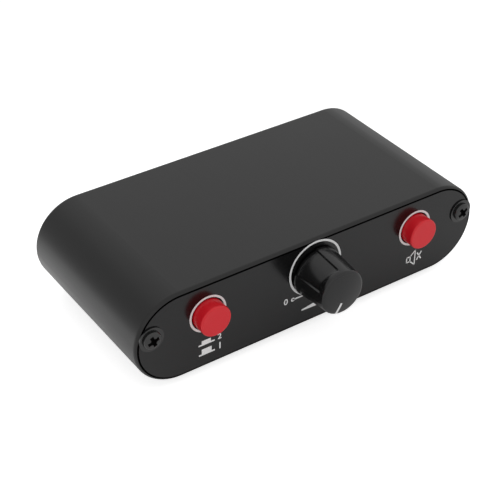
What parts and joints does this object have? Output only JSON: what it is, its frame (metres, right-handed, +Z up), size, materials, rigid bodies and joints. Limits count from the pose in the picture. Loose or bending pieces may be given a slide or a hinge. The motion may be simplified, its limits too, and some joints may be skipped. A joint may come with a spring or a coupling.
{
  "type": "audio switch box",
  "caption": "Low black aluminium box with round sides, a fluted volume knob, red push buttons and rear phono sockets, for choosing and muting a stereo line source.",
  "frame": {"origin": "on the surface that the box stands on, below the middle of its overall width and length, knob and sockets included", "axes": "+X to the right as seen from the front, +Y towards the sockets at the rear, +Z up; the knob faces -Y"},
  "size_m": [0.12, 0.0798, 0.0311],
  "materials": {
    "black_anodised": "fine matte black anodising on an extruded tube",
    "black_panel": "matte black anodised sheet with white print on the front",
    "black_screw": "black oxide",
    "foot_rubber": "matte black",
    "board": "green solder mask on glass fibre board",
    "resistor": "lacquered",
    "pressed_steel": "zinc-plated pressed steel",
    "nickel_brass": "nickel-plated brass",
    "gold_brass": "gold-plated brass",
    "tinned": "tin-plated",
    "carbon_disc": "resin-bonded paper with carbon tracks",
    "white_moulding": "moulded, unpainted",
    "black_moulding": "moulded, unpainted",
    "knob_black": "satin moulded plastic",
    "pointer_white": "white paint in a groove",
    "cap_red": "satin-gloss moulded red plastic",
    "socket_white": "white moulded insulator",
    "socket_red": "red moulded insulator",
    "spring_steel": "bright spring wire"
  },
  "bodies": {
    "case": {"case_sleeve": "black_anodised", "front_panel": "black_panel", "rear_panel": "black_panel", "front_panel_washers": "black_screw", "front_panel_screws": "black_screw", "rear_panel_screws": "black_screw", "foot_front_left": "foot_rubber", "foot_front_right": "foot_rubber", "foot_rear_left": "foot_rubber", "foot_rear_right": "foot_rubber", "circuit_board": "board", "mute_resistors": "resistor", "pot_housing": "pressed_steel", "pot_rear_cover": "pressed_steel", "pot_bush": "nickel_brass", "pot_track_discs": "carbon_disc", "pot_terminals": "tinned", "pot_washer": "pressed_steel", "pot_nut": "nickel_brass", "source_switch_housing": "black_moulding", "source_switch_pins": "tinned", "source_switch_spring": "spring_steel", "mute_switch_housing": "black_moulding", "mute_switch_pins": "tinned", "mute_switch_spring": "spring_steel", "input_1_block": "black_moulding", "input_1_barrels": "nickel_brass", "input_1_white_insulator": "socket_white", "input_1_red_insulator": "socket_red", "input_1_contacts": "nickel_brass", "input_2_block": "black_moulding", "input_2_barrels": "nickel_brass", "input_2_white_insulator": "socket_white", "input_2_red_insulator": "socket_red", "input_2_contacts": "nickel_brass", "output_block": "black_moulding", "output_barrels": "nickel_brass", "output_white_insulator": "socket_white", "output_red_insulator": "socket_red", "output_contacts": "nickel_brass", "block_screws": "black_screw"},
    "volume_control": {"volume_knob": "knob_black", "knob_pointer": "pointer_white", "pot_shaft": "nickel_brass", "pot_wipers": "white_moulding"},
    "source_push": {"source_button": "cap_red", "source_switch_plunger": "white_moulding", "source_switch_contacts": "gold_brass"},
    "mute_push": {"mute_button": "cap_red", "mute_switch_plunger": "white_moulding", "mute_switch_contacts": "gold_brass"}
  },
  "joints": [
    {"name": "volume_turn", "type": "hinge", "parent": "case", "child": "volume_control", "pos_m": [0, -0.02635, 0.0199], "axis": [0, 1, 0], "range_deg": [0, 300]},
    {"name": "source_press", "type": "slide", "parent": "case", "child": "source_push", "axis": [0, 1, 0], "range_m": [0, 0.0025], "stiffness_N_per_m": 600, "springref_m": -0.002, "deforming": ["source_switch_spring"]},
    {"name": "mute_press", "type": "slide", "parent": "case", "child": "mute_push", "axis": [0, 1, 0], "range_m": [0, 0.0025], "stiffness_N_per_m": 600, "springref_m": -0.002, "deforming": ["mute_switch_spring"]}
  ]
}
